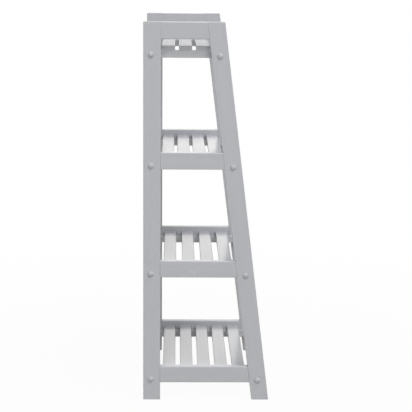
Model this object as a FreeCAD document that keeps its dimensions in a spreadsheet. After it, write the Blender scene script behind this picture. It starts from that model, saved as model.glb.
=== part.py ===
"""A free-standing slatted shelving unit with four shelves and a raked front.

Two end frames, each an upright back post, a raked front post and four rails, carry four
shelves. A shelf is a row of lengthwise slats nailed to two cleats, and each cleat is screwed
to the inner faces of a frame's two posts. A domed cover hides each screw.

Millimetres. X runs along the shelves, the front faces -Y and Z is up. The origin is on the
floor, in the middle of the unit's footprint.
"""
import FreeCAD, Part
import os
import re

import Sketcher

DRIVING_SIZES = (
    ("unit_length", 500, "over the outer faces of the two end frames"),
    ("unit_height", 1050, "floor to the tops of the posts"),
    ("floor_depth", 350, "front to back on the floor"),
    ("top_depth", 219, "front to back at the tops of the posts"),
    ("post_width", 47, "across a post, square to its length"),
    ("frame_thickness", 21, "board that the posts and rails are cut from"),
    ("frame_edge_radius", 2.5, "rounding along the posts and rails"),
    ("post_end_bevel", 1.5, "bevel round the ends of a post"),
    ("rail_height", 46, "all rails"),
    ("top_rail_drop", 0.3, "top rail below the tops of the posts"),
    ("tenon_length", 15, "stub tenon, from the rail's shoulder"),
    ("tenon_thickness", 8, "stub tenon, along X"),
    ("tenon_shoulder", 8, "rail left above and below a tenon"),
    ("tenon_fit", 0.1, "room on each side of a tenon in its mortise"),
    ("mortise_relief", 1, "glue room beyond the end of a tenon"),
    ("first_shelf_height", 50, "floor to the underside of the lowest cleats and rails"),
    ("shelf_rise", 301, "from each of the lower shelves to the next"),
    ("top_shelf_drop", 97, "tops of the posts down to the underside of the highest cleats"),
    ("cleat_height", 20, "cleat under the slats"),
    ("cleat_thickness", 20, "cleat, along X"),
    ("cleat_end_inset", 5, "cleat's ends behind the outer edges of the posts"),
    ("cleat_edge_bevel", 1.5, "bevel along the cleat's lower edges"),
    ("slat_width", 35.5, "all slats"),
    ("slat_thickness", 12, "all slats"),
    ("slat_end_room", 0.5, "between a slat's end and the frame"),
    ("slat_edge_radius", 2, "rounding along a slat's upper edges"),
    ("bottom_shelf_slats", 5, "number of slats"),
    ("second_shelf_slats", 4, "number of slats"),
    ("third_shelf_slats", 4, "number of slats"),
    ("top_shelf_slats", 3, "number of slats"),
    ("bottom_shelf_margin", 7, "outer slats to the inner edges of the posts"),
    ("second_shelf_margin", 8, "outer slats to the inner edges of the posts"),
    ("third_shelf_margin", 1.5, "outer slats to the inner edges of the posts"),
    ("top_shelf_margin", 2.5, "outer slats to the inner edges of the posts"),
    ("screw_width", 5, "across the flats of a shelf screw's shank"),
    ("screw_head_width", 9.5, "across the flats of a shelf screw's head"),
    ("screw_head_height", 3.5, "shelf screw"),
    ("screw_tip_cover", 3, "wood left beyond a screw's point"),
    ("screw_fit", 0.1, "room all round a screw's shank"),
    ("back_screw_inset", 21, "back posts' outer edges to their screws"),
    ("front_screw_drop", 3.5, "screws in the front posts below the middle of the cleats"),
    ("cover_head_diameter", 16, "domed screw cover"),
    ("cover_head_height", 4.6, "domed screw cover"),
    ("cover_shank_width", 10, "across the flats of a cover's shank"),
    ("cover_shank_length", 5, "domed screw cover"),
    ("cover_fit", 0.1, "room all round a cover's shank"),
    ("cover_gap", 0.5, "between a cover's shank and the screw's head"),
    ("brad_width", 1.2, "square section of a brad nail"),
    ("brad_tip_cover", 4, "slat left above a brad's point"),
)
ALIASES = {alias for alias, _, _ in DRIVING_SIZES}

SHELVES = ("bottom", "second", "third", "top")
SIDES = {"left": -1, "right": 1}

# Heights and places, as formulas of the driving sizes.
RAKE_SLOPE = "(floor_depth - top_depth) / unit_height"
BACK_OUTER = "floor_depth / 2"
BACK_INNER = "(floor_depth / 2 - post_width)"
TOP_RAIL_HEIGHT = "(unit_height - top_rail_drop - rail_height)"
COUNTERBORE_DEPTH = "(cover_shank_length + cover_gap + screw_head_height)"
SCREW_LENGTH = (
    "(frame_thickness - cover_shank_length - cover_gap + cleat_thickness - screw_tip_cover)"
)
CLEAT_MIDDLE = "(unit_length / 2 - frame_thickness - cleat_thickness / 2)"


def formula(text):
    """Puts the sheet's name in front of each driving size in a formula."""
    return re.sub(
        r"[a-z_]+", lambda word: f"Sizes.{word[0]}" if word[0] in ALIASES else word[0], text
    )


def number(text):
    """The value of a formula."""
    return float(sheet.evalExpression(formula(text)))


def bind(thing, path, text):
    """Ties a property of an object to a formula."""
    thing.setExpression(path, formula(text))


def front_outer(height):
    """Y of the front posts' outer edge at a height."""
    return f"(-floor_depth / 2 + ({height}) * {RAKE_SLOPE})"


def front_inner(height):
    """Y of the front posts' inner edge at a height."""
    return f"({front_outer(height)} + post_width / cos(atan({RAKE_SLOPE})))"


def shelf_bottom(level):
    """Underside of a shelf's cleats, and of the rails beside them."""
    if SHELVES[level] == "top":
        return "(unit_height - top_shelf_drop)"
    return f"(first_shelf_height + {level} * shelf_rise)"


def rail_bottoms():
    """Name and underside of each rail in an end frame."""
    lower = [(shelf, shelf_bottom(level)) for level, shelf in enumerate(SHELVES[:-1])]
    return lower + [("top", TOP_RAIL_HEIGHT)]


def screw_places():
    """Y and Z of the shelf screws in the back post, and in the front post."""
    heights = [f"({shelf_bottom(level)} + cleat_height / 2)" for level in range(len(SHELVES))]
    back = [(f"({BACK_OUTER} - back_screw_inset)", height) for height in heights]
    lowered = [f"({height} - front_screw_drop)" for height in heights]
    front = [
        (f"(({front_outer(height)} + {front_inner(height)}) / 2)", height) for height in lowered
    ]
    return back, front


def slat_places(level):
    """Y of each slat's middle on a shelf, from the back to the front."""
    shelf = f"{SHELVES[level]}_shelf"
    count = int(number(f"{shelf}_slats"))
    slat_top = f"({shelf_bottom(level)} + cleat_height + slat_thickness)"
    back_edge = f"({BACK_INNER} - {shelf}_margin)"
    front_edge = f"({front_inner(slat_top)} + {shelf}_margin)"
    pitch = f"({back_edge} - {front_edge} - slat_width) / {max(count - 1, 1)}"
    return [f"({back_edge} - slat_width / 2 - {index} * {pitch})" for index in range(count)]


def new_sketch(body, name, plane, offset="0"):
    """A sketch on one of the body's own planes, or parallel to it."""
    sketch = body.newObject("Sketcher::SketchObject", f"{body.Name}_{name}")
    support = next(item for item in body.Origin.OriginFeatures if item.Role == plane)
    sketch.AttachmentSupport = [(support, "")]
    sketch.MapMode = "FlatFace"
    bind(sketch, "AttachmentOffset.Base.z", offset)
    return sketch


def pin(sketch, geometry, point, across, up):
    """Holds a point of a sketch at two formulas."""
    for kind, text in (("DistanceX", across), ("DistanceY", up)):
        constraint = Sketcher.Constraint(kind, -1, 1, geometry, point, number(text))
        index = sketch.addConstraint(constraint)
        bind(sketch, f"Constraints[{index}]", text)


def add_outline(sketch, corners):
    """A closed outline of straight lines through corners given as formulas."""
    first = sketch.GeometryCount
    points = [FreeCAD.Vector(number(across), number(up), 0) for across, up in corners]
    for start, end in zip(points, points[1:] + points[:1]):
        sketch.addGeometry(Part.LineSegment(start, end))
    for index, (across, up) in enumerate(corners):
        following = first + (index + 1) % len(corners)
        sketch.addConstraint(Sketcher.Constraint("Coincident", first + index, 2, following, 1))
        pin(sketch, first + index, 1, across, up)


def add_rectangle(sketch, left, right, low, high):
    """A rectangle between formulas."""
    add_outline(sketch, ((left, low), (right, low), (right, high), (left, high)))


def add_hexagon(sketch, across, up, width):
    """A hexagon round a middle, with its width across the flats, all given as formulas."""
    add_outline(
        sketch,
        [
            (
                f"({across} + ({width}) / 2 / cos(30) * cos({angle}))",
                f"({up} + ({width}) / 2 / cos(30) * sin({angle}))",
            )
            for angle in range(0, 360, 60)
        ],
    )


def pad(body, sketch, length, reverse=False, symmetric=False):
    """Adds a sketch's outline, raised by a length."""
    feature = body.newObject("PartDesign::Pad", f"{sketch.Name}_pad")
    feature.Profile = sketch
    feature.Reversed = reverse
    feature.SideType = "Symmetric" if symmetric else "One side"
    bind(feature, "Length", length)
    doc.recompute()
    return feature


def cut_from(body, feature, before):
    """Rebuilds after a cut and makes sure that it took wood away."""
    doc.recompute()
    if feature.Shape.isNull() or not feature.Shape.Volume < before:
        raise RuntimeError(f"{feature.Name} cuts nothing from {body.Label}")


def pocket(body, sketch, length=None, reverse=False, symmetric=False):
    """Cuts a sketch's outline to a depth, or right through where there is none."""
    before = body.Shape.Volume
    feature = body.newObject("PartDesign::Pocket", f"{sketch.Name}_pocket")
    feature.Profile = sketch
    feature.Reversed = reverse
    feature.SideType = "Symmetric" if symmetric else "One side"
    if length is None:
        feature.Type = "ThroughAll"
    else:
        bind(feature, "Length", length)
    cut_from(body, feature, before)


def dress_edges(body, kind, size_name, size, chosen):
    """Rounds or bevels the edges of a body that a test picks by their bounding box."""
    base = body.Tip
    names = [
        f"Edge{index}"
        for index, edge in enumerate(base.Shape.Edges, start=1)
        if chosen(edge.BoundBox)
    ]
    feature = body.newObject(f"PartDesign::{kind}", f"{body.Name}_{kind.lower()}")
    feature.Base = (base, names)
    bind(feature, size_name, size)
    doc.recompute()


def new_body(label, place=("0", "0", "0")):
    """A body of its own, placed by formulas."""
    body = doc.addObject("PartDesign::Body", label)
    body.Label = label
    for axis, text in zip("xyz", place):
        bind(body, f"Placement.Base.{axis}", text)
    return body


def frame_body(label, side):
    """A body whose YZ plane is the outer face of an end frame."""
    return new_body(label, (f"{SIDES[side]} * unit_length / 2", "0", "0"))


def inward(side):
    """Sign of the way along X from an end frame into the unit."""
    return -SIDES[side]


def tenon_plane(side):
    """X of the middle of the board, from an end frame's outer face."""
    return f"{inward(side)} * frame_thickness / 2"


def make_post(side, row, corners, mortise_sides, screws):
    """A post: a board cut to its outline, mortised for the rails and bored for the screws."""
    body = frame_body(f"{side}_{row}_post", side)
    on_right = side == "right"
    profile = new_sketch(body, "profile", "YZ_Plane")
    add_outline(profile, corners)
    pad(body, profile, "frame_thickness", reverse=on_right)

    half_height = number("unit_height / 2")
    dress_edges(body, "Chamfer", "Size", "post_end_bevel", lambda box: box.ZLength < half_height)
    dress_edges(body, "Fillet", "Radius", "frame_edge_radius", lambda box: box.ZLength > half_height)

    holes = new_sketch(body, "screws", "YZ_Plane")
    recesses = new_sketch(body, "covers", "YZ_Plane")
    for across, up in screws:
        add_hexagon(holes, across, up, "screw_width + 2 * screw_fit")
        add_hexagon(recesses, across, up, "cover_shank_width + 2 * cover_fit")
    pocket(body, holes, reverse=not on_right)
    pocket(body, recesses, COUNTERBORE_DEPTH, reverse=not on_right)

    mortises = new_sketch(body, "mortises", "YZ_Plane", tenon_plane(side))
    for _, bottom in rail_bottoms():
        low = f"({bottom} + tenon_shoulder - tenon_fit)"
        high = f"({bottom} + rail_height - tenon_shoulder + tenon_fit)"
        add_outline(mortises, mortise_sides(low, high))
    pocket(body, mortises, "tenon_thickness + 2 * tenon_fit", symmetric=True)
    return body


def back_post(side, screws):
    """The upright post at the back of an end frame."""
    corners = (
        (BACK_INNER, "0"),
        (BACK_OUTER, "0"),
        (BACK_OUTER, "unit_height"),
        (BACK_INNER, "unit_height"),
    )

    def mortise_sides(low, high):
        mouth = f"({BACK_INNER} - frame_edge_radius)"
        end = f"({BACK_INNER} + tenon_length + mortise_relief)"
        return ((mouth, low), (end, low), (end, high), (mouth, high))

    return make_post(side, "back", corners, mortise_sides, screws)


def front_post(side, screws):
    """The raked post at the front of an end frame, its ends cut level."""
    corners = (
        (front_outer("0"), "0"),
        (front_inner("0"), "0"),
        (front_inner("unit_height"), "unit_height"),
        (front_outer("unit_height"), "unit_height"),
    )

    def mortise_sides(low, high):
        reach = "(tenon_length + mortise_relief)"
        return (
            (f"({front_inner(low)} - {reach})", low),
            (f"({front_inner(low)} + frame_edge_radius)", low),
            (f"({front_inner(high)} + frame_edge_radius)", high),
            (f"({front_inner(high)} - {reach})", high),
        )

    return make_post(side, "front", corners, mortise_sides, screws)


def make_rail(side, name, bottom):
    """A rail between the posts, its front end cut to the rake, with a stub tenon at each end."""
    body = frame_body(f"{side}_{name}_rail", side)
    top = f"({bottom} + rail_height)"
    profile = new_sketch(body, "profile", "YZ_Plane")
    add_outline(
        profile,
        (
            (front_inner(bottom), bottom),
            (BACK_INNER, bottom),
            (BACK_INNER, top),
            (front_inner(top), top),
        ),
    )
    pad(body, profile, "frame_thickness", reverse=side == "right")
    thin = number("frame_thickness") / 1000
    dress_edges(
        body,
        "Fillet",
        "Radius",
        "frame_edge_radius",
        lambda box: box.ZLength < thin and box.XLength < thin,
    )

    low = f"({bottom} + tenon_shoulder)"
    high = f"({top} - tenon_shoulder)"
    back_end = f"({BACK_INNER} + tenon_length)"
    tenons = new_sketch(body, "tenons", "YZ_Plane", tenon_plane(side))
    add_outline(
        tenons,
        (
            (f"({front_inner(low)} - tenon_length)", low),
            (back_end, low),
            (back_end, high),
            (f"({front_inner(high)} - tenon_length)", high),
        ),
    )
    pad(body, tenons, "tenon_thickness", symmetric=True)
    return body


def make_cleat(side, level, screws):
    """A cleat behind the posts, bored for the shelf screws and slotted for the brads."""
    sign = SIDES[side]
    body = new_body(
        f"{SHELVES[level]}_shelf_{side}_cleat",
        (f"{sign} * (unit_length / 2 - frame_thickness)", "0", "0"),
    )
    on_right = side == "right"
    bottom = shelf_bottom(level)
    top = f"({bottom} + cleat_height)"
    profile = new_sketch(body, "profile", "YZ_Plane")
    add_rectangle(
        profile,
        f"({front_outer(top)} + cleat_end_inset)",
        f"({BACK_OUTER} - cleat_end_inset)",
        bottom,
        top,
    )
    pad(body, profile, "cleat_thickness", reverse=on_right)
    thin = number("cleat_thickness") / 1000
    middle = number(f"{bottom} + cleat_height / 2")
    dress_edges(
        body,
        "Chamfer",
        "Size",
        "cleat_edge_bevel",
        lambda box: box.XLength < thin and box.ZLength < thin and box.ZMax < middle,
    )

    bores = new_sketch(body, "screws", "YZ_Plane")
    for across, up in screws:
        add_hexagon(bores, across, up, "screw_width + 2 * screw_fit")
    pocket(body, bores, "cleat_thickness - screw_tip_cover", reverse=not on_right)

    slots = new_sketch(body, "brads", "XY_Plane")
    for slat in slat_places(level):
        add_brad_slot(slots, f"-{sign} * cleat_thickness / 2", slat)
    pocket(body, slots, reverse=True)
    return body


def add_brad_slot(sketch, across, up):
    """The square outline of a brad, round a middle given by formulas."""
    half = "brad_width / 2"
    add_rectangle(
        sketch,
        f"({across} - {half})",
        f"({across} + {half})",
        f"({up} - {half})",
        f"({up} + {half})",
    )


def make_slat(level, index, place):
    """A slat laid on the cleats from one end frame to the other."""
    height = f"{shelf_bottom(level)} + cleat_height"
    body = new_body(f"{SHELVES[level]}_shelf_slat_{index}", ("0", place, height))
    profile = new_sketch(body, "profile", "YZ_Plane")
    add_rectangle(profile, "-slat_width / 2", "slat_width / 2", "0", "slat_thickness")
    pad(body, profile, "unit_length - 2 * (frame_thickness + slat_end_room)", symmetric=True)
    half_length = number("unit_length / 2")
    half_thickness = number("slat_thickness / 2")
    dress_edges(
        body,
        "Fillet",
        "Radius",
        "slat_edge_radius",
        lambda box: box.XLength > half_length and box.ZMin > half_thickness,
    )
    slots = new_sketch(body, "brads", "XY_Plane")
    for sign in SIDES.values():
        add_brad_slot(slots, f"{sign} * {CLEAT_MIDDLE}", "0")
    pocket(body, slots, "slat_thickness - brad_tip_cover", reverse=True)
    return body


def make_brads(level):
    """The brad nails of one shelf, driven from beneath."""
    bottom = shelf_bottom(level)
    brads = []
    for sign in SIDES.values():
        for slat in slat_places(level):
            brad = doc.addObject("Part::Box", f"{SHELVES[level]}_brad")
            bind(brad, "Length", "brad_width")
            bind(brad, "Width", "brad_width")
            bind(brad, "Height", "cleat_height + slat_thickness - brad_tip_cover")
            bind(brad, "Placement.Base.x", f"{sign} * {CLEAT_MIDDLE} - brad_width / 2")
            bind(brad, "Placement.Base.y", f"{slat} - brad_width / 2")
            bind(brad, "Placement.Base.z", bottom)
            brads.append(brad)
    return make_group(f"{SHELVES[level]}_shelf_brads", brads)


def make_group(label, members):
    """One sub-part of several separate solids."""
    group = doc.addObject("Part::Compound", label)
    group.Label = label
    group.Links = members
    return group


def screw_pattern():
    """The pattern for the shelf screws, head first along X."""
    body = new_body("shelf_screw")
    for name, width, length in (
        ("head", "screw_head_width", "screw_head_height"),
        ("shank", "screw_width", SCREW_LENGTH),
    ):
        outline = new_sketch(body, name, "YZ_Plane")
        add_hexagon(outline, "0", "0", width)
        pad(body, outline, length)
    return body


def cover_pattern():
    """The pattern for the screw covers: a domed head before the YZ plane and a shank beyond it."""
    body = new_body("screw_cover")
    section = new_sketch(body, "section", "XY_Plane")
    apex = FreeCAD.Vector(-number("cover_head_height"), 0, 0)
    rim = FreeCAD.Vector(0, number("cover_head_diameter / 2"), 0)
    radius = (rim.y**2 + apex.x**2) / (2 * -apex.x)
    sphere = Part.Circle(apex + FreeCAD.Vector(radius, 0, 0), FreeCAD.Vector(0, 0, 1), radius)
    section.addGeometry(Part.LineSegment(apex, FreeCAD.Vector()))
    section.addGeometry(Part.LineSegment(FreeCAD.Vector(), rim))
    section.addGeometry(Part.ArcOfCircle(sphere, sphere.parameter(rim), sphere.parameter(apex)))
    pin(section, 0, 1, "-cover_head_height", "0")
    pin(section, 1, 1, "0", "0")
    pin(section, 1, 2, "0", "cover_head_diameter / 2")
    for first, last in (((0, 2), (1, 1)), ((2, 1), (1, 2)), ((2, 2), (0, 1))):
        section.addConstraint(Sketcher.Constraint("Coincident", *first, *last))
    section.addConstraint(Sketcher.Constraint("PointOnObject", 2, 3, -1))
    dome = body.newObject("PartDesign::Revolution", "screw_cover_dome")
    dome.Profile = section
    dome.ReferenceAxis = (section, ["H_Axis"])
    doc.recompute()
    shank = new_sketch(body, "shank", "YZ_Plane")
    add_hexagon(shank, "0", "0", "cover_shank_width")
    pad(body, shank, "cover_shank_length")
    return body


def make_fasteners(label, pattern, side, depth, places):
    """Copies of a fastener in one end frame, pointing into the unit."""
    copies = []
    for across, up in places:
        copy = doc.addObject("App::Link", f"{label}_copy")
        copy.LinkedObject = pattern
        turn = FreeCAD.Rotation(FreeCAD.Vector(0, 0, 1), 180 if side == "right" else 0)
        copy.Placement = FreeCAD.Placement(FreeCAD.Vector(), turn)
        bind(copy, "Placement.Base.x", f"{SIDES[side]} * (unit_length / 2 - {depth})")
        bind(copy, "Placement.Base.y", across)
        bind(copy, "Placement.Base.z", up)
        copies.append(copy)
    return make_group(label, copies)


def make_sheet():
    """The sheet that holds the driving sizes."""
    page = doc.addObject("Spreadsheet::Sheet", "Sizes")
    for row, (alias, value, note) in enumerate(DRIVING_SIZES, start=1):
        page.set(f"A{row}", alias)
        page.set(f"B{row}", str(value))
        page.set(f"C{row}", note)
        page.setAlias(f"B{row}", alias)
    doc.recompute()
    return page


def make_unit():
    """All sub-parts of the unit."""
    back_screws, front_screws = screw_places()
    screw = screw_pattern()
    cover = cover_pattern()
    nodes = []
    for side in SIDES:
        nodes.append(back_post(side, back_screws))
        nodes.append(front_post(side, front_screws))
        nodes += [make_rail(side, name, bottom) for name, bottom in rail_bottoms()]
        for level in range(len(SHELVES)):
            nodes.append(make_cleat(side, level, (back_screws[level], front_screws[level])))
        places = back_screws + front_screws
        head = "(cover_shank_length + cover_gap)"
        nodes.append(make_fasteners(f"{side}_shelf_screws", screw, side, head, places))
        nodes.append(make_fasteners(f"{side}_screw_covers", cover, side, "0", places))
    for level in range(len(SHELVES)):
        for index, place in enumerate(slat_places(level), start=1):
            nodes.append(make_slat(level, index, place))
        nodes.append(make_brads(level))
    return nodes


def check(nodes):
    """Stops where an object failed, or a sub-part is not made of sound solids."""
    failed = [item.Label for item in doc.Objects if {"Invalid", "Error"} & set(item.State)]
    if failed:
        raise RuntimeError(f"failed objects: {failed}")
    for node in nodes:
        expected = len(node.Links) if node.isDerivedFrom("Part::Compound") else 1
        if node.Shape.isNull() or not node.Shape.isValid():
            raise RuntimeError(f"{node.Label} has no valid shape")
        if len(node.Shape.Solids) != expected:
            raise RuntimeError(f"{node.Label} has {len(node.Shape.Solids)} solids, not {expected}")


doc = FreeCAD.newDocument("ShelvingUnit")
sheet = make_sheet()
parts = make_unit()
doc.recompute()
check(parts)
os.makedirs("parts", exist_ok=True)
for part in parts:
    part.Shape.exportStep(f"parts/{part.Label}.step")
print(f"{len(parts)} sub-parts, {sum(len(part.Shape.Solids) for part in parts)} solids")
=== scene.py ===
"""Looks of a slatted shelving unit with a raked front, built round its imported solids.

Metres. X runs along the shelves, the front faces -Y and Z is up. Every board is rebuilt with
eased edges on the outline of its solid, and carries its own board coordinates, so that the
grain under the paint runs along each piece.
"""
import logging
import math
from collections.abc import Callable
from dataclasses import dataclass, field
from enum import Enum
from typing import ClassVar

import bmesh
import bpy
from mathutils import Matrix, Vector


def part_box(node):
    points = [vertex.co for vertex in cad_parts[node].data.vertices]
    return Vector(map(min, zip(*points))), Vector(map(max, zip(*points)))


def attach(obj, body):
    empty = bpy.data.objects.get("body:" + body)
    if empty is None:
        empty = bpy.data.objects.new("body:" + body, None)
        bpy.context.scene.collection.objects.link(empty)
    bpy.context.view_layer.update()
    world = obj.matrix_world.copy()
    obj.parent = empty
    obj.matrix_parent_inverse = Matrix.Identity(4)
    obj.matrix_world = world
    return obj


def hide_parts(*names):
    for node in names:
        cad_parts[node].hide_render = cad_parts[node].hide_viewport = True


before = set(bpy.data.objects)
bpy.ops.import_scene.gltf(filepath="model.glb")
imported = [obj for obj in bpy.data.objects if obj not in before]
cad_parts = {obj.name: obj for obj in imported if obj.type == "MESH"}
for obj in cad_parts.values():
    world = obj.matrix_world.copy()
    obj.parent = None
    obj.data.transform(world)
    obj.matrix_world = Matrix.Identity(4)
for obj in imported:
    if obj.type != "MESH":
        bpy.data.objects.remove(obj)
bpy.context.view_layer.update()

log = logging.getLogger("shelving_unit")

X_AXIS = Vector((1.0, 0.0, 0.0))
Y_AXIS = Vector((0.0, 1.0, 0.0))
Z_AXIS = Vector((0.0, 0.0, 1.0))

# Most of a noise value lies between these two.
NOISE_RANGE = (0.3, 0.7)
FULL_RANGE = (0.0, 1.0)
# Height in metres at the foot and the head of a post in which its corners are looked for.
POST_END = 0.004


class Side(Enum):
    """The two end frames."""

    LEFT = "left"
    RIGHT = "right"


class Shelf(Enum):
    """The four shelves, from the floor up."""

    BOTTOM = "bottom"
    SECOND = "second"
    THIRD = "third"
    TOP = "top"


class Slot(Enum):
    """The record's material slots of the pieces that are made here."""

    WOOD = "grey_painted_wood"
    PLASTIC = "grey_plastic"


class Facing(Enum):
    """What a face of a board is. A new face is flat."""

    FLAT = 0
    EASED = 1
    END = 2


def new_group(
    name: str, inputs: dict[str, tuple[str, object]], outputs: dict[str, str]
) -> tuple[bpy.types.NodeTree, bpy.types.Node, bpy.types.Node]:
    """An empty shader node group with its own sockets.

    Args:
        name: Name of the group.
        inputs: Socket type and default value by input name.
        outputs: Socket type by output name.

    Returns:
        The group's tree, its input node and its output node.
    """
    tree = bpy.data.node_groups.new(name, "ShaderNodeTree")
    for label, (kind, value) in inputs.items():
        socket = tree.interface.new_socket(label, in_out="INPUT", socket_type=kind)
        if value is not None:
            socket.default_value = value
    for label, kind in outputs.items():
        tree.interface.new_socket(label, in_out="OUTPUT", socket_type=kind)
    return tree, tree.nodes.new("NodeGroupInput"), tree.nodes.new("NodeGroupOutput")


def add_node(tree: bpy.types.NodeTree, kind: str, **values: object) -> bpy.types.Node:
    """A node with its properties and inputs set.

    Args:
        tree: Tree that gets the node.
        kind: Blender's name of the node type.
        **values: Node properties, or inputs by name with underscores for blanks.

    Returns:
        The node.
    """
    node = tree.nodes.new(kind)
    for label, value in values.items():
        if label in node.bl_rna.properties:
            setattr(node, label, value)
        else:
            node.inputs[label.replace("_", " ")].default_value = value
    return node


def add_maths(
    tree: bpy.types.NodeTree, operation: str, first: object, second: object, clamp: bool = False
) -> bpy.types.NodeSocket:
    """Arithmetic on two values, each a socket or a number.

    Args:
        tree: Tree that gets the node.
        operation: Blender's name of the operation.
        first: First value.
        second: Second value.
        clamp: Whether the result stays between 0 and 1.

    Returns:
        The result's socket.
    """
    node = add_node(tree, "ShaderNodeMath", operation=operation, use_clamp=clamp)
    for socket, value in zip(node.inputs, (first, second)):
        if isinstance(value, bpy.types.NodeSocket):
            tree.links.new(value, socket)
        else:
            socket.default_value = value
    return node.outputs[0]


def add_weighted(
    tree: bpy.types.NodeTree,
    first: tuple[bpy.types.NodeSocket, float],
    second: tuple[bpy.types.NodeSocket, float],
) -> bpy.types.NodeSocket:
    """A weighted sum of two values.

    Args:
        tree: Tree that gets the nodes.
        first: First value and its weight.
        second: Second value and its weight.

    Returns:
        The sum's socket.
    """
    terms = [add_maths(tree, "MULTIPLY", *term) for term in (first, second)]
    return add_maths(tree, "ADD", *terms)


def add_scaled(
    tree: bpy.types.NodeTree, vector: bpy.types.NodeSocket, scale: tuple[float, float, float]
) -> bpy.types.NodeSocket:
    """A vector with each of its parts multiplied.

    Args:
        tree: Tree that gets the node.
        vector: Vector to scale.
        scale: Factor of each part.

    Returns:
        The scaled vector's socket.
    """
    node = add_node(tree, "ShaderNodeVectorMath", operation="MULTIPLY")
    tree.links.new(vector, node.inputs[0])
    node.inputs[1].default_value = scale
    return node.outputs[0]


def add_noise(
    tree: bpy.types.NodeTree, vector: bpy.types.NodeSocket, scale: float, detail: float, rough: float
) -> bpy.types.NodeSocket:
    """A noise value between 0 and 1.

    Args:
        tree: Tree that gets the node.
        vector: Coordinates, in metres or already scaled.
        scale: Cells to the unit.
        detail: Octaves.
        rough: Share of the finer octaves.

    Returns:
        The noise's socket.
    """
    node = add_node(tree, "ShaderNodeTexNoise", Scale=scale, Detail=detail, Roughness=rough)
    tree.links.new(vector, node.inputs["Vector"])
    return node.outputs["Fac"]


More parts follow.
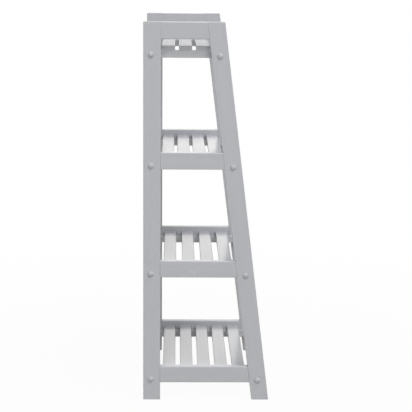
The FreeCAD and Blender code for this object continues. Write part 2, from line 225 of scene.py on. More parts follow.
class Effects:
    """Surface effects shared by the finishes, each a node group made once.

    The stretches and cells are factors along a board, across it and through it.
    """

    RING_STRETCH = (0.12, 1.0, 1.0)
    # Spacing in metres of the wave texture's rings at a scale of 1.
    RING_PERIOD = 0.314
    FIBRE_CELLS = (9.0, 420.0, 420.0)
    PORE_CELLS = (60.0, 900.0, 900.0)
    STREAK_CELLS = (3.0, 70.0, 70.0)
    MARK_CELLS = (180.0, 2600.0, 2600.0)
    GLOSS_CELLS = 14.0
    # Breakup of the lighter edges, which are partly wear and partly a painted highlight.
    EDGE_MASK_CELLS = 55.0
    EDGE_MASK_CONTRAST = 3.2

    def __init__(self) -> None:
        """Builds the groups."""
        self.grain = self.make_grain()
        self.film = self.make_film()
        self.wear_and_highlight = self.make_wear_and_highlight()
        self.brushing = self.make_brushing()

    @staticmethod
    def make_grain() -> bpy.types.NodeTree:
        """Softwood grain along the first board coordinate.

        Returns:
            A group that puts out the relief of the grain and its streaks.
        """
        tree, enter, leave = new_group(
            "softwood_grain",
            {
                "Vector": ("NodeSocketVector", None),
                "Ring Spacing": ("NodeSocketFloat", 0.005),
                "End": ("NodeSocketFloat", 0.0),
            },
            {"Height": "NodeSocketFloat", "Streak": "NodeSocketFloat"},
        )
        vector = enter.outputs["Vector"]
        waves = add_node(
            tree,
            "ShaderNodeTexWave",
            wave_type="RINGS",
            rings_direction="X",
            Distortion=2.4,
            Detail=2.0,
            Detail_Scale=0.35,
        )
        tree.links.new(add_scaled(tree, vector, Effects.RING_STRETCH), waves.inputs["Vector"])
        scale = add_maths(tree, "DIVIDE", Effects.RING_PERIOD, enter.outputs["Ring Spacing"])
        tree.links.new(scale, waves.inputs["Scale"])
        rings = waves.outputs["Fac"]
        fibres = add_noise(tree, add_scaled(tree, vector, Effects.FIBRE_CELLS), 1.0, 4.0, 0.6)
        pores = add_noise(tree, add_scaled(tree, vector, Effects.PORE_CELLS), 1.0, 2.0, 0.5)
        along = add_weighted(tree, (rings, 0.45), (fibres, 0.75))
        across = add_weighted(tree, (rings, 0.7), (pores, 0.9))
        blend = add_node(tree, "ShaderNodeMix", data_type="FLOAT")
        tree.links.new(enter.outputs["End"], blend.inputs[0])
        tree.links.new(along, blend.inputs[2])
        tree.links.new(across, blend.inputs[3])
        tree.links.new(blend.outputs[0], leave.inputs["Height"])
        broad = add_noise(tree, add_scaled(tree, vector, Effects.STREAK_CELLS), 1.0, 3.0, 0.55)
        streak = add_weighted(tree, (broad, 0.65), (rings, 0.35))
        tree.links.new(streak, leave.inputs["Streak"])
        return tree

    @staticmethod
    def make_film() -> bpy.types.NodeTree:
        """The skin of a sprayed or moulded surface.

        Returns:
            A group that puts out a fine relief and patches of gloss.
        """
        tree, enter, leave = new_group(
            "surface_film",
            {"Vector": ("NodeSocketVector", None), "Cell Size": ("NodeSocketFloat", 0.002)},
            {"Height": "NodeSocketFloat", "Gloss": "NodeSocketFloat"},
        )
        cells = add_node(tree, "ShaderNodeTexNoise", Detail=2.0, Roughness=0.45)
        tree.links.new(enter.outputs["Vector"], cells.inputs["Vector"])
        tree.links.new(add_maths(tree, "DIVIDE", 1.0, enter.outputs["Cell Size"]), cells.inputs["Scale"])
        tree.links.new(cells.outputs["Fac"], leave.inputs["Height"])
        patches = add_noise(tree, enter.outputs["Vector"], Effects.GLOSS_CELLS, 4.0, 0.55)
        tree.links.new(patches, leave.inputs["Gloss"])
        return tree

    @staticmethod
    def make_wear_and_highlight() -> bpy.types.NodeTree:
        """Rubbing along rounded edges, and a painted highlight there: the mask lightens the edges for both.

        Returns:
            A group that puts out a broken mask along the edges.
        """
        tree, enter, leave = new_group(
            "edge_wear_and_highlight",
            {
                "Vector": ("NodeSocketVector", None),
                "Edge": ("NodeSocketFloat", 0.0),
                "Amount": ("NodeSocketFloat", 0.5),
            },
            {"Mask": "NodeSocketFloat"},
        )
        breaks = add_noise(tree, enter.outputs["Vector"], Effects.EDGE_MASK_CELLS, 5.0, 0.65)
        raised = add_maths(tree, "ADD", breaks, add_maths(tree, "SUBTRACT", enter.outputs["Amount"], 1.0))
        strength = add_maths(tree, "MULTIPLY", raised, Effects.EDGE_MASK_CONTRAST, clamp=True)
        mask = add_maths(tree, "MULTIPLY", strength, enter.outputs["Edge"])
        tree.links.new(mask, leave.inputs["Mask"])
        return tree

    @staticmethod
    def make_brushing() -> bpy.types.NodeTree:
        """Drawing marks on steel wire.

        Returns:
            A group that puts out fine marks along X.
        """
        tree, enter, leave = new_group(
            "drawing_marks", {"Vector": ("NodeSocketVector", None)}, {"Marks": "NodeSocketFloat"}
        )
        stretched = add_scaled(tree, enter.outputs["Vector"], Effects.MARK_CELLS)
        marks = add_noise(tree, stretched, 1.0, 3.0, 0.6)
        tree.links.new(marks, leave.inputs["Marks"])
        return tree


def place_group(
    tree: bpy.types.NodeTree, group: bpy.types.NodeTree, **values: object
) -> bpy.types.Node:
    """A shared effect placed in a material.

    Args:
        tree: The material's tree.
        group: The effect.
        **values: Inputs by name with underscores for blanks, each a socket or a number.

    Returns:
        The group node.
    """
    node = tree.nodes.new("ShaderNodeGroup")
    node.node_tree = group
    for label, value in values.items():
        socket = node.inputs[label.replace("_", " ")]
        if isinstance(value, bpy.types.NodeSocket):
            tree.links.new(value, socket)
        else:
            socket.default_value = value
    return node


def new_material(name: str) -> tuple[bpy.types.Material, bpy.types.NodeTree, bpy.types.Node]:
    """A material with a bare Principled shader.

    Args:
        name: Name of the material.

    Returns:
        The material, its tree and its shader.
    """
    material = bpy.data.materials.new(name)
    material.use_nodes = True
    tree = material.node_tree
    return material, tree, tree.nodes["Principled BSDF"]


def add_bump(
    tree: bpy.types.NodeTree,
    height: bpy.types.NodeSocket,
    depth: float,
    under: bpy.types.NodeSocket | None = None,
) -> bpy.types.NodeSocket:
    """Relief on a surface.

    Args:
        tree: The material's tree.
        height: Height from 0 to 1.
        depth: Depth of the relief in metres.
        under: Normal that it is laid over.

    Returns:
        The normal's socket.
    """
    node = add_node(tree, "ShaderNodeBump", Strength=1.0, Distance=depth)
    tree.links.new(height, node.inputs["Height"])
    if under is not None:
        tree.links.new(under, node.inputs["Normal"])
    return node.outputs["Normal"]


def add_mix(
    tree: bpy.types.NodeTree,
    share: bpy.types.NodeSocket,
    first: bpy.types.NodeSocket | tuple[float, float, float],
    second: bpy.types.NodeSocket | tuple[float, float, float],
) -> bpy.types.NodeSocket:
    """Two colours mixed.

    Args:
        tree: The material's tree.
        share: Share of the second colour.
        first: First colour, a socket or a value.
        second: Second colour, a socket or a value.

    Returns:
        The mixed colour's socket.
    """
    node = add_node(tree, "ShaderNodeMix", data_type="RGBA")
    tree.links.new(share, node.inputs[0])
    for socket, value in zip((node.inputs[6], node.inputs[7]), (first, second)):
        if isinstance(value, bpy.types.NodeSocket):
            tree.links.new(value, socket)
        else:
            socket.default_value = (*value, 1.0)
    return node.outputs[2]


def remap(
    tree: bpy.types.NodeTree,
    value: bpy.types.NodeSocket,
    old: tuple[float, float],
    new: tuple[float, float],
) -> bpy.types.NodeSocket:
    """A value moved from one range to another.

    Args:
        tree: The material's tree.
        value: Value to move.
        old: Low and high end of its range.
        new: Low and high end of the new range.

    Returns:
        The new value's socket.
    """
    node = tree.nodes.new("ShaderNodeMapRange")
    tree.links.new(value, node.inputs["Value"])
    for label, number in zip(("From Min", "From Max", "To Min", "To Max"), (*old, *new)):
        node.inputs[label].default_value = number
    return node.outputs["Result"]


@dataclass(frozen=True)
class PaintedWood:
    """Satin paint over planed softwood, thin along the eased edges, which are painted lighter for wear and
    as a painted highlight.
    """

    CELL_SIZE: ClassVar[float] = 0.0022
    END_DULLNESS: ClassVar[float] = 0.12

    name: str
    colour: tuple[float, float, float]
    shade: tuple[float, float, float]
    wear_and_highlight_colour: tuple[float, float, float]
    end_colour: tuple[float, float, float]
    roughness: tuple[float, float]
    specular: float
    grain_depth: float
    film_depth: float
    ring_spacing: float
    # How much the eased edges are lightened, for wear and as a painted highlight.
    wear_and_highlight: float

    def material(self, effects: Effects) -> bpy.types.Material:
        """The finish as a material.

        Args:
            effects: The shared effects.

        Returns:
            The material.
        """
        material, tree, shader = new_material(self.name)
        board = add_node(tree, "ShaderNodeAttribute", attribute_name="board").outputs["Vector"]
        edge = add_node(tree, "ShaderNodeAttribute", attribute_name="edge").outputs["Fac"]
        end = add_node(tree, "ShaderNodeAttribute", attribute_name="end_grain").outputs["Fac"]
        grain = place_group(tree, effects.grain, Vector=board, Ring_Spacing=self.ring_spacing, End=end)
        film = place_group(tree, effects.film, Vector=board, Cell_Size=self.CELL_SIZE)
        wear_and_highlight = place_group(tree, effects.wear_and_highlight, Vector=board, Edge=edge, Amount=self.wear_and_highlight)

        streaks = remap(tree, grain.outputs["Streak"], NOISE_RANGE, FULL_RANGE)
        tone = add_mix(tree, streaks, self.shade, self.colour)
        tone = add_mix(tree, end, tone, self.end_colour)
        # Lighter eased edges: partly paint worn thin, partly a painted highlight.
        tone = add_mix(tree, wear_and_highlight.outputs["Mask"], tone, self.wear_and_highlight_colour)
        tree.links.new(tone, shader.inputs["Base Color"])

        gloss = remap(tree, film.outputs["Gloss"], NOISE_RANGE, self.roughness)
        at_end = add_maths(tree, "MULTIPLY", end, self.END_DULLNESS)
        dull = add_maths(tree, "ADD", gloss, at_end, clamp=True)
        tree.links.new(dull, shader.inputs["Roughness"])
        relief = add_bump(tree, grain.outputs["Height"], self.grain_depth)
        relief = add_bump(tree, film.outputs["Height"], self.film_depth, relief)
        tree.links.new(relief, shader.inputs["Normal"])
        shader.inputs["Specular IOR Level"].default_value = self.specular
        return material


@dataclass(frozen=True)
class MouldedPlastic:
    """A moulded cover in the colour of the paint."""

    CELL_SIZE: ClassVar[float] = 0.0009
    FILM_DEPTH: ClassVar[float] = 0.00004
    # How much the lip is lightened, for wear and as a painted highlight.
    WEAR_AND_HIGHLIGHT: ClassVar[float] = 0.55
    SPECULAR: ClassVar[float] = 0.5

    name: str
    colour: tuple[float, float, float]
    shade: tuple[float, float, float]
    wear_and_highlight_colour: tuple[float, float, float]
    roughness: tuple[float, float]

    def material(self, effects: Effects) -> bpy.types.Material:
        """The finish as a material.

        Args:
            effects: The shared effects.

        Returns:
            The material.
        """
        material, tree, shader = new_material(self.name)
        place = tree.nodes.new("ShaderNodeTexCoord").outputs["Object"]
        edge = add_node(tree, "ShaderNodeAttribute", attribute_name="edge").outputs["Fac"]
        film = place_group(tree, effects.film, Vector=place, Cell_Size=self.CELL_SIZE)
        wear_and_highlight = place_group(tree, effects.wear_and_highlight, Vector=place, Edge=edge, Amount=self.WEAR_AND_HIGHLIGHT)
        patches = remap(tree, film.outputs["Gloss"], NOISE_RANGE, FULL_RANGE)
        tone = add_mix(tree, patches, self.shade, self.colour)
        # Lighter lip: partly wear, partly a painted highlight.
        tone = add_mix(tree, wear_and_highlight.outputs["Mask"], tone, self.wear_and_highlight_colour)
        tree.links.new(tone, shader.inputs["Base Color"])
        gloss = remap(tree, film.outputs["Gloss"], NOISE_RANGE, self.roughness)
        tree.links.new(gloss, shader.inputs["Roughness"])
        tree.links.new(add_bump(tree, film.outputs["Height"], self.FILM_DEPTH), shader.inputs["Normal"])
        shader.inputs["Specular IOR Level"].default_value = self.SPECULAR
        return material


@dataclass(frozen=True)
class DrawnSteel:
    """Steel wire of screws and nails."""

    CELL_SIZE: ClassVar[float] = 0.0012
    MARK_DEPTH: ClassVar[float] = 0.00002

    name: str
    colour: tuple[float, float, float]
    shade: tuple[float, float, float]
    roughness: tuple[float, float]

    def material(self, effects: Effects) -> bpy.types.Material:
        """The finish as a material.

        Args:
            effects: The shared effects.

        Returns:
            The material.
        """
        material, tree, shader = new_material(self.name)
        place = tree.nodes.new("ShaderNodeTexCoord").outputs["Object"]
        marks = place_group(tree, effects.brushing, Vector=place).outputs["Marks"]
        film = place_group(tree, effects.film, Vector=place, Cell_Size=self.CELL_SIZE)
        tone = add_mix(tree, film.outputs["Gloss"], self.shade, self.colour)
        tree.links.new(tone, shader.inputs["Base Color"])
        tree.links.new(remap(tree, marks, NOISE_RANGE, self.roughness), shader.inputs["Roughness"])
        tree.links.new(add_bump(tree, marks, self.MARK_DEPTH), shader.inputs["Normal"])
        shader.inputs["Metallic"].default_value = 1.0
        return material


class Finishes:
    """All materials of the unit."""

    def __init__(self) -> None:
        """Builds the effects and the materials."""
        effects = Effects()
        paint = {
            "colour": (0.503, 0.509, 0.530),
            "shade": (0.487, 0.493, 0.514),
            # Lighter colour of the eased edges: wear and a painted highlight.
            "wear_and_highlight_colour": (0.534, 0.539, 0.557),
            "end_colour": (0.453, 0.457, 0.476),
            "specular": 0.5,
            "film_depth": 0.000006,
        }
        self.frame = PaintedWood(
            "frame_paint",
            **paint,
            roughness=(0.20, 0.28),
            grain_depth=0.000012,
            ring_spacing=0.006,
            wear_and_highlight=0.40,
        ).material(effects)
        self.shelf = PaintedWood(
            "shelf_paint",
            **paint,
            roughness=(0.18, 0.25),
            grain_depth=0.000014,
            ring_spacing=0.0045,
            wear_and_highlight=0.50,
        ).material(effects)
        self.cover = MouldedPlastic(
            "cover_plastic",
            colour=(0.500, 0.505, 0.525),
            shade=(0.480, 0.485, 0.506),
            # Lighter lip: wear and a painted highlight.
            wear_and_highlight_colour=(0.550, 0.553, 0.566),
            roughness=(0.40, 0.50),
        ).material(effects)
        self.zinc = DrawnSteel(
            "zinc_screw",
            colour=(0.66, 0.66, 0.63),
            shade=(0.54, 0.54, 0.53),
            roughness=(0.28, 0.46),
        ).material(effects)
        self.bright = DrawnSteel(
            "bright_brad",
            colour=(0.70, 0.70, 0.70),
            shade=(0.60, 0.60, 0.60),
            roughness=(0.22, 0.40),
        ).material(effects)


def new_piece(
    name: str, mesh: bpy.types.Mesh, material: bpy.types.Material, node: str
) -> None:
    """A mesh made into a piece that stands for a solid.

    Args:
        name: Name of the piece.
        mesh: Its mesh, in the unit's frame.
        material: Its finish.
        node: The solid that it stands for.
    """
    piece = bpy.data.objects.new(name, mesh)
    bpy.context.scene.collection.objects.link(piece)
    mesh.materials.append(material)
    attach(piece, "root")
    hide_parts(node)
    log.info("%s: %d faces, stands for %s", name, len(mesh.polygons), node)


@dataclass(frozen=True)
class Easing:
    """Radii that a board's edges are rounded to."""

    upper: float
    lower: float
    ends: float


@dataclass
class Board:
    """A straight board: an outline across the unit, carried along X, with eased edges."""

    # Cosine above which two directions count as the same.
    ALIGNED: ClassVar[float] = 0.9
    # Part of a direction above which a board counts as running that way.
    RUNNING: ClassVar[float] = 0.5
    UPPER_STEPS: ClassVar[int] = 4
    LOWER_STEPS: ClassVar[int] = 3
    END_STEPS: ClassVar[int] = 2
    # Spans in metres of the places in a log that boards are cut from.
    LOG_LENGTH: ClassVar[float] = 5.0
    LOG_WIDTH: ClassVar[float] = 0.09
    LOG_DEPTH: ClassVar[float] = 0.06
    HEART_GAP: ClassVar[float] = 0.035
    # Steps from one seed's place to the next, along, across and through the log.
    SEED_STEPS: ClassVar[tuple[float, float, float]] = (1.37, 0.618, 0.414)

    name: str
    outline: tuple[tuple[float, float], ...]
    low: float
    high: float
    along: Vector
    easing: Easing
    seed: int

    def build(self) -> bpy.types.Mesh:
        """Makes the board's mesh.

        Returns:
            The mesh, with its board coordinates, edges and ends marked.
        """
        shape = bmesh.new()
        kind = shape.faces.layers.int.new("facing")
        rings = [[shape.verts.new((x, y, z)) for y, z in self.outline] for x in (self.low, self.high)]
        shape.faces.new(rings[0])
        shape.faces.new(rings[1])
        for index in range(len(self.outline)):
            after = (index + 1) % len(self.outline)
            shape.faces.new((rings[0][index], rings[0][after], rings[1][after], rings[1][index]))
        bmesh.ops.recalc_face_normals(shape, faces=shape.faces)
        for face in shape.faces:
            if abs(face.normal.dot(self.along)) > self.ALIGNED:
                face[kind] = Facing.END.value
        self.ease(shape, kind)
        self.mark(shape, kind)
        normals = [self.flat_normal(vertex, kind) for vertex in shape.verts]
        mesh = bpy.data.meshes.new(self.name)
        shape.to_mesh(mesh)
        shape.free()
        mesh.shade_smooth()
        mesh.normals_split_custom_set_from_vertices(normals)
        return mesh

    def ease(self, shape: bmesh.types.BMesh, kind: bmesh.types.BMLayerItem) -> None:
        """Rounds the long edges, then those round the ends.

        Args:
            shape: The board.
            kind: Layer that says what a face is.
        """
        middle = sum(vertex.co.z for vertex in shape.verts) / len(shape.verts)
        long_edges = [
            edge
            for edge in shape.edges
            if abs((edge.verts[1].co - edge.verts[0].co).normalized().dot(self.along)) > self.ALIGNED
        ]
        upright = abs(self.along.z) > self.RUNNING
        upper = [e for e in long_edges if upright or (e.verts[0].co.z + e.verts[1].co.z) / 2 > middle]
        lower = [e for e in long_edges if e not in upper]
        self.round_off(shape, kind, upper, self.easing.upper, self.UPPER_STEPS)
        self.round_off(shape, kind, lower, self.easing.lower, self.LOWER_STEPS)
        ends = [
            edge
            for edge in shape.edges
            if any(face[kind] == Facing.END.value for face in edge.link_faces)
        ]
        self.round_off(shape, kind, ends, self.easing.ends, self.END_STEPS)

    @staticmethod
    def round_off(
        shape: bmesh.types.BMesh,
        kind: bmesh.types.BMLayerItem,
        edges: list[bmesh.types.BMEdge],
        radius: float,
        steps: int,
    ) -> None:
        """Rounds some edges and marks the new faces as eased.

        Args:
            shape: The board.
            kind: Layer that says what a face is.
            edges: Edges to round.
            radius: Radius.
            steps: Faces across the rounding.
        """
        if not edges:
            return
        made = bmesh.ops.bevel(
            shape,
            geom=edges,
            offset=radius,
            offset_type="OFFSET",
            segments=steps,
            profile=0.5,
            affect="EDGES",
            clamp_overlap=True,
        )
        for face in made["faces"]:
            face[kind] = Facing.EASED.value

    def mark(self, shape: bmesh.types.BMesh, kind: bmesh.types.BMLayerItem) -> None:
        """Writes the board coordinates, and how far a point is on an edge or an end.

        Args:
            shape: The board.
            kind: Layer that says what a face is.
        """
        board = shape.verts.layers.float_vector.new("board")
        edge = shape.verts.layers.float.new("edge")
        end = shape.loops.layers.float.new("end_grain")
        through = Z_AXIS if abs(self.along.x) > self.RUNNING else X_AXIS
        across = through.cross(self.along).normalized()
        shift = self.place_in_log()
        centre = Vector((
            (self.low + self.high) / 2,
            sum(y for y, _ in self.outline) / len(self.outline),
            sum(z for _, z in self.outline) / len(self.outline),
        ))
        for vertex in shape.verts:
            offset = vertex.co - centre
            local = Vector((offset.dot(self.along), offset.dot(across), offset.dot(through)))
            vertex[board] = local + shift
            eased = all(face[kind] == Facing.EASED.value for face in vertex.link_faces)
            vertex[edge] = 1.0 if eased else 0.0
        for face in shape.faces:
            for loop in face.loops:
                loop[end] = 1.0 if face[kind] == Facing.END.value else 0.0

    def place_in_log(self) -> Vector:
        """Where in its log the board was cut, so that no two boards share their grain.

        Returns:
            Metres along the log, across it and out from its heart.
        """
        along, across, through = self.SEED_STEPS
        return Vector((
            self.seed * along % self.LOG_LENGTH,
            (self.seed * across % 1.0 - 0.5) * self.LOG_WIDTH,
            self.HEART_GAP + self.seed * through % 1.0 * self.LOG_DEPTH,
        ))

    @staticmethod
    def flat_normal(vertex: bmesh.types.BMVert, kind: bmesh.types.BMLayerItem) -> Vector:
        """The normal at a vertex, square to a flat face that it borders.

        Args:
            vertex: The vertex.
            kind: Layer that says what a face is.

        Returns:
            The normal.
        """
        flat = [face for face in vertex.link_faces if face[kind] != Facing.EASED.value]
        if not flat:
            return vertex.normal.copy()
        return sum((face.normal * face.calc_area() for face in flat), Vector()).normalized()


def slanted_sides(node: str) -> tuple[Callable[[float], float], Callable[[float], float]]:
    """The two long edges of a post, seen from its end frame's side.

    Args:
        node: The post's solid.

    Returns:
        Y of the front edge and of the back edge at a height.
    """
    low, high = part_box(node)
    points = [vertex.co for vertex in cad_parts[node].data.vertices]
    foot = [point for point in points if point.z < low.z + POST_END]
    head = [point for point in points if point.z > high.z - POST_END]

    def line(pick: Callable[..., Vector]) -> Callable[[float], float]:
        """The line through the outermost points at the foot and at the head."""
        start = pick(foot, key=lambda point: point.y)
        stop = pick(head, key=lambda point: point.y)
        slope = (stop.y - start.y) / (stop.z - start.z)
        return lambda height: start.y + (height - start.z) * slope

    return line(min), line(max)


@dataclass
class ScrewCovers:
    """The domed covers on the outer face of one end frame."""

    # How far above and below a cleat its covers may reach.
    LEVEL_MARGIN: ClassVar[float] = 0.005
    # Radius at the wood and at the top of the lip, as shares of the rim's.
    FOOT_SHARE: ClassVar[float] = 0.992
    TOP_SHARE: ClassVar[float] = 0.996
    # Height of the rim, as a share of the lip's.
    RIM_SHARE: ClassVar[float] = 0.35
    # First step up the dome, as a share of the others.
    FIRST_STEP: ClassVar[float] = 0.4
    # Points of the profile that are on the lip's edge.
    EDGE_POINTS: ClassVar[tuple[int, int]] = (1, 2)

    side: Side
    lip: float = 0.0005
    shoulder: float = 0.0004
    rings: int = 9
    steps: int = 56

    @property
    def node(self) -> str:
        """The solid that the covers stand for."""
        return f"{self.side.value}_screw_covers"

    def centres(self) -> list[tuple[float, float, float]]:
        """Where the covers sit.

        Returns:
            Y, Z and radius of each cover.
        """
        points = [vertex.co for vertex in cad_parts[self.node].data.vertices]
        found = []
        for shelf in Shelf:
            low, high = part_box(f"{shelf.value}_shelf_{self.side.value}_cleat")
            bottom, top = low.z - self.LEVEL_MARGIN, high.z + self.LEVEL_MARGIN
            level = [p for p in points if bottom < p.z < top]
            middle = sum(p.y for p in level) / len(level)
            for row in ([p for p in level if p.y > middle], [p for p in level if p.y < middle]):
                front, back = min(p.y for p in row), max(p.y for p in row)
                lowest, highest = min(p.z for p in row), max(p.z for p in row)
                found.append(((front + back) / 2, (lowest + highest) / 2, (back - front) / 2))
        return found

    def profile(self, radius: float, height: float) -> list[tuple[float, float]]:
        """Half the section of a cover.

        Args:
            radius: Radius of the rim.
            height: Height of the dome above the wood.

        Returns:
            Distance from the axis and height of each point, from the wood up toward the crown.
        """
        inner = radius - self.shoulder
        rise = height - self.lip
        points = [
            (radius * self.FOOT_SHARE, 0.0),
            (radius, self.lip * self.RIM_SHARE),
            (radius * self.TOP_SHARE, self.lip),
        ]
        for step in range(self.rings):
            angle = math.pi / 2 * (step + self.FIRST_STEP) / (self.rings + self.FIRST_STEP)
            points.append((inner * math.cos(angle), self.lip + rise * math.sin(angle)))
        return points

    def build(self) -> bpy.types.Mesh:
        """Makes the covers of this end frame.

        Returns:
            One mesh of separate domes.
        """
        low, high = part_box(self.node)
        post_low, post_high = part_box(f"{self.side.value}_back_post")
        outward = -1.0 if self.side is Side.LEFT else 1.0
        face = post_low.x if self.side is Side.LEFT else post_high.x
        height = face - low.x if self.side is Side.LEFT else high.x - face
        shape = bmesh.new()
        edge = shape.verts.layers.float.new("edge")
        for y, z, radius in self.centres():
            rows = []
            for index, (reach, rise) in enumerate(self.profile(radius, height)):
                row = []
                for step in range(self.steps):
                    turn = 2 * math.pi * step / self.steps
                    across, up = reach * math.cos(turn), reach * math.sin(turn)
                    vertex = shape.verts.new((face + outward * rise, y + across, z + up))
                    vertex[edge] = 1.0 if index in self.EDGE_POINTS else 0.0
                    row.append(vertex)
                rows.append(row)
            crown = shape.verts.new((face + outward * height, y, z))
            for lower, upper in zip(rows, rows[1:]):
                for step in range(self.steps):
                    after = (step + 1) % self.steps
                    shape.faces.new((lower[step], lower[after], upper[after], upper[step]))
            for step in range(self.steps):
                shape.faces.new((rows[-1][step], rows[-1][(step + 1) % self.steps], crown))
            shape.faces.new(rows[0])
        bmesh.ops.recalc_face_normals(shape, faces=shape.faces)
        mesh = bpy.data.meshes.new(self.node)
        shape.to_mesh(mesh)
        shape.free()
        mesh.shade_smooth()
        return mesh


@dataclass
class EndFrame:
    """One end frame: an upright back post, a raked front post, four rails and the screw covers."""

    SEEDS: ClassVar[dict[Side, int]] = {Side.LEFT: 3, Side.RIGHT: 17}

    side: Side
    post_easing: Easing = field(default_factory=lambda: Easing(0.0015, 0.0015, 0.0015))
    rail_easing: Easing = field(default_factory=lambda: Easing(0.0025, 0.0025, 0.0004))

    @staticmethod
    def outline(
        front: Callable[[float], float], back: Callable[[float], float], low: float, high: float
    ) -> tuple[tuple[float, float], ...]:
        """The outline of a board between two slanted lines.

        Args:
            front: Y of the front line at a height.
            back: Y of the back line at a height.
            low: Height of the bottom.
            high: Height of the top.

        Returns:
            Y and Z of the four corners.
        """
        return (front(low), low), (back(low), low), (back(high), high), (front(high), high)

    def build(self) -> list[Board]:
        """Sets out the posts and rails.

        Returns:
            The boards.
        """
        name = self.side.value
        seed = self.SEEDS[self.side]
        boards = []
        for row in ("back", "front"):
            node = f"{name}_{row}_post"
            low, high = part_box(node)
            front, back = slanted_sides(node)
            outline = self.outline(front, back, low.z, high.z)
            along = Vector((0.0, front(high.z) - front(low.z), high.z - low.z)).normalized()
            boards.append(Board(node, outline, low.x, high.x, along, self.post_easing, seed + len(boards)))
        _, front_inner = slanted_sides(f"{name}_front_post")
        back_inner, _ = slanted_sides(f"{name}_back_post")
        for shelf in Shelf:
            node = f"{name}_{shelf.value}_rail"
            low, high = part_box(node)
            outline = self.outline(front_inner, back_inner, low.z, high.z)
            boards.append(Board(node, outline, low.x, high.x, Y_AXIS, self.rail_easing, seed + len(boards)))
        return boards

    def dress(self, finishes: Finishes) -> None:
        """Makes the pieces of the frame with their finishes.

        Args:
            finishes: The materials.
        """
        for board in self.build():
            new_piece(f"dressed_{board.name}", board.build(), finishes.frame, board.name)
        covers = ScrewCovers(self.side)
        new_piece(f"dressed_{covers.node}", covers.build(), finishes.cover, covers.node)


@dataclass
class ShelfPanel:
    """One shelf: lengthwise slats on two cleats."""

    FIRST_SEED: ClassVar[int] = 31
    SEED_STEP: ClassVar[int] = 13

    shelf: Shelf
    slat_easing: Easing = field(default_factory=lambda: Easing(0.0020, 0.0006, 0.0005))
    cleat_easing: Easing = field(default_factory=lambda: Easing(0.0006, 0.0015, 0.0006))

    def build(self) -> list[Board]:
        """Sets out the cleats and slats.

        Returns:
            The boards.
        """
        prefix = f"{self.shelf.value}_shelf_"
        seed = self.FIRST_SEED + self.SEED_STEP * list(Shelf).index(self.shelf)
        boards = []
        for node in sorted(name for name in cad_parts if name.startswith(prefix)):
            if node.endswith("_brads"):
                continue
            low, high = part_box(node)
            outline = ((low.y, low.z), (high.y, low.z), (high.y, high.z), (low.y, high.z))
            cleat = node.endswith("_cleat")
            along = Y_AXIS if cleat else X_AXIS
            easing = self.cleat_easing if cleat else self.slat_easing
            boards.append(Board(node, outline, low.x, high.x, along, easing, seed + len(boards)))
        return boards

    def dress(self, finishes: Finishes) -> None:
        """Makes the pieces of the shelf with their finishes.

        Args:
            finishes: The materials.
        """
        for board in self.build():
            new_piece(f"dressed_{board.name}", board.build(), finishes.shelf, board.name)


class Hardware:
    """The screws and brads, which stay as their solids."""

    @staticmethod
    def dress(finishes: Finishes) -> None:
        """Gives the solids their finishes.

        Args:
            finishes: The materials.
        """
        for name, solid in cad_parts.items():
            if name.endswith(("_shelf_screws", "_brads")):
                material = finishes.zinc if name.endswith("_screws") else finishes.bright
                solid.data.materials.clear()
                solid.data.materials.append(material)
                log.info("%s: dressed in %s", name, material.name)


@dataclass(frozen=True)
class Lamp:
    """A soft box. The camera doesn't see it, and the paint shows it only if it is mirrored."""

    name: str
    place: tuple[float, float, float]
    target: tuple[float, float, float]
    size: tuple[float, float]
    power: float
    colour: tuple[float, float, float]
    mirrored: bool = False

    def build(self) -> bpy.types.Object:
        """Makes the lamp.

        Returns:
            The lamp.
        """
        light = bpy.data.lights.new(self.name, "AREA")
        light.shape = "RECTANGLE"
        light.size, light.size_y = self.size
        light.energy = self.power
        light.color = self.colour
        lamp = bpy.data.objects.new(self.name, light)
        lamp.visible_camera = False
        lamp.visible_glossy = self.mirrored
        lamp.location = self.place
        way = Vector(self.target) - Vector(self.place)
        lamp.rotation_euler = way.to_track_quat("-Z", "Y").to_euler()
        bpy.context.scene.collection.objects.link(lamp)
        return lamp


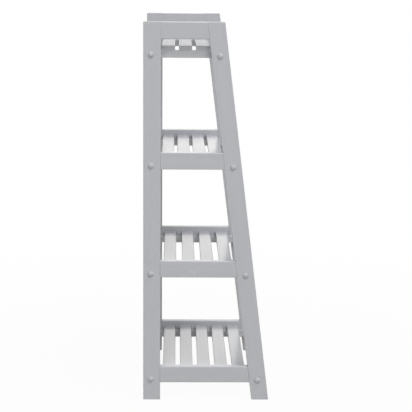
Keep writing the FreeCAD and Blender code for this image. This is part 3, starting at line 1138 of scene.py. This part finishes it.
@dataclass
class Studio:
    """The pale floor, the soft light and the camera."""

    floor_half: float = 9.0
    floor_colour: tuple[float, float, float] = (0.52, 0.505, 0.48)
    white_share: tuple[float, float] = (0.96, 1.0)
    white_reach: tuple[float, float] = (0.4, 2.0)
    ambient: tuple[float, float, float] = (1.0, 1.0, 1.0)
    ambient_strength: float = 0.28
    camera_place: tuple[float, float, float] = (-3.95154, 0.08699, 1.24893)
    camera_turn: float = math.radians(-91.2876)
    camera_tilt: float = math.radians(10.6608)
    camera_roll: float = math.radians(0.4793)
    focal_pixels: float = 1381.27
    image_pixels: float = 412.0
    sensor_width: float = 36.0
    lamps: tuple[Lamp, ...] = (
        Lamp("back_box", (5.0, 0.0, 1.6), (0.0, 0.0, 0.8), (3.0, 2.0), 10.2, (1.0, 0.935, 0.87), True),
        Lamp("back_left_box", (7.5, 7.5, 2.6), (0.0, 0.0, 0.5), (5.0, 5.0), 230.0, (1.0, 0.99, 0.97)),
        Lamp("back_right_box", (7.5, -7.5, 2.6), (0.0, 0.0, 0.5), (5.0, 5.0), 230.0, (1.0, 0.99, 0.97)),
        Lamp("high_box", (-9.0, 0.0, 15.5), (0.0, 0.0, 0.5), (3.0, 12.0), 560.0, (0.965, 0.98, 1.0)),
        Lamp("key_box", (-5.0, -5.0, 12.0), (0.0, 0.0, 0.5), (6.0, 6.0), 785.0, (0.965, 0.98, 1.0)),
        Lamp("left_box", (-9.2, 5.2, 8.3), (0.0, 0.0, 0.5), (8.8, 8.8), 240.0, (0.965, 0.98, 1.0)),
        Lamp("right_box", (-9.0, -4.0, 7.0), (0.0, 0.0, 0.5), (4.0, 4.0), 255.0, (0.965, 0.98, 1.0)),
    )

    def build(self) -> None:
        """Makes the floor, the world, the lamps and the camera."""
        self.build_floor()
        self.build_world()
        for lamp in self.lamps:
            log.info("lamp %s", lamp.build().name)
        self.build_camera()
        bpy.context.scene.view_settings.view_transform = "Standard"

    @staticmethod
    def seen_directly(tree: bpy.types.NodeTree) -> bpy.types.NodeSocket:
        """A mask of the rays that show the background, seen straight or mirrored.

        Args:
            tree: Tree of the floor or the world.

        Returns:
            The mask's socket.
        """
        path = tree.nodes.new("ShaderNodeLightPath")
        glossy, through = path.outputs["Is Glossy Ray"], path.outputs["Is Transmission Ray"]
        mirrored = add_maths(tree, "MAXIMUM", glossy, through)
        return add_maths(tree, "MAXIMUM", path.outputs["Is Camera Ray"], mirrored)

    def build_floor(self) -> None:
        """A pale floor that shows white and keeps the unit's shadow."""
        mesh = bpy.data.meshes.new("floor")
        half = self.floor_half
        corners = [(-half, -half, 0.0), (half, -half, 0.0), (half, half, 0.0), (-half, half, 0.0)]
        mesh.from_pydata(corners, [], [(0, 1, 2, 3)])
        material, tree, shader = new_material("pale_floor")
        shader.inputs["Base Color"].default_value = (*self.floor_colour, 1.0)
        shader.inputs["Roughness"].default_value = 1.0
        shader.inputs["Specular IOR Level"].default_value = 0.0
        glow = add_node(tree, "ShaderNodeEmission", Strength=1.0)
        mix = tree.nodes.new("ShaderNodeMixShader")
        away = add_node(tree, "ShaderNodeVectorMath", operation="LENGTH")
        tree.links.new(tree.nodes.new("ShaderNodeNewGeometry").outputs["Position"], away.inputs[0])
        white = remap(tree, away.outputs["Value"], self.white_reach, self.white_share)
        share = add_maths(tree, "MULTIPLY", self.seen_directly(tree), white)
        tree.links.new(share, mix.inputs[0])
        tree.links.new(shader.outputs[0], mix.inputs[1])
        tree.links.new(glow.outputs[0], mix.inputs[2])
        tree.links.new(mix.outputs[0], tree.nodes["Material Output"].inputs["Surface"])
        mesh.materials.append(material)
        floor = bpy.data.objects.new("floor", mesh)
        bpy.context.scene.collection.objects.link(floor)

    def build_world(self) -> None:
        """Even light from all round, white where it is seen."""
        world = bpy.data.worlds.new("studio")
        bpy.context.scene.world = world
        world.use_nodes = True
        tree = world.node_tree
        lighting = tree.nodes["Background"]
        lighting.inputs["Color"].default_value = (*self.ambient, 1.0)
        lighting.inputs["Strength"].default_value = self.ambient_strength
        white = add_node(tree, "ShaderNodeBackground", Strength=1.0)
        white.inputs["Color"].default_value = (1.0, 1.0, 1.0, 1.0)
        mix = tree.nodes.new("ShaderNodeMixShader")
        tree.links.new(self.seen_directly(tree), mix.inputs[0])
        tree.links.new(lighting.outputs[0], mix.inputs[1])
        tree.links.new(white.outputs[0], mix.inputs[2])
        tree.links.new(mix.outputs[0], tree.nodes["World Output"].inputs["Surface"])

    def build_camera(self) -> None:
        """A camera end-on to the unit, a little above its top."""
        lens = bpy.data.cameras.new("camera")
        lens.sensor_width = self.sensor_width
        lens.lens = self.focal_pixels / self.image_pixels * self.sensor_width
        camera = bpy.data.objects.new("camera", lens)
        turn = Matrix.Rotation(self.camera_turn, 4, "Z")
        tilt = Matrix.Rotation(math.pi / 2 - self.camera_tilt, 4, "X")
        roll = Matrix.Rotation(self.camera_roll, 4, "Z")
        camera.matrix_world = Matrix.Translation(self.camera_place) @ turn @ tilt @ roll
        bpy.context.scene.collection.objects.link(camera)
        bpy.context.scene.camera = camera


def main() -> None:
    """Builds the unit's pieces and the studio."""
    logging.basicConfig(level=logging.INFO, format="%(name)s: %(message)s")
    finishes = Finishes()
    for side in Side:
        EndFrame(side).dress(finishes)
    for shelf in Shelf:
        ShelfPanel(shelf).dress(finishes)
    Hardware.dress(finishes)
    Studio().build()


if __name__ == "__main__":
    main()
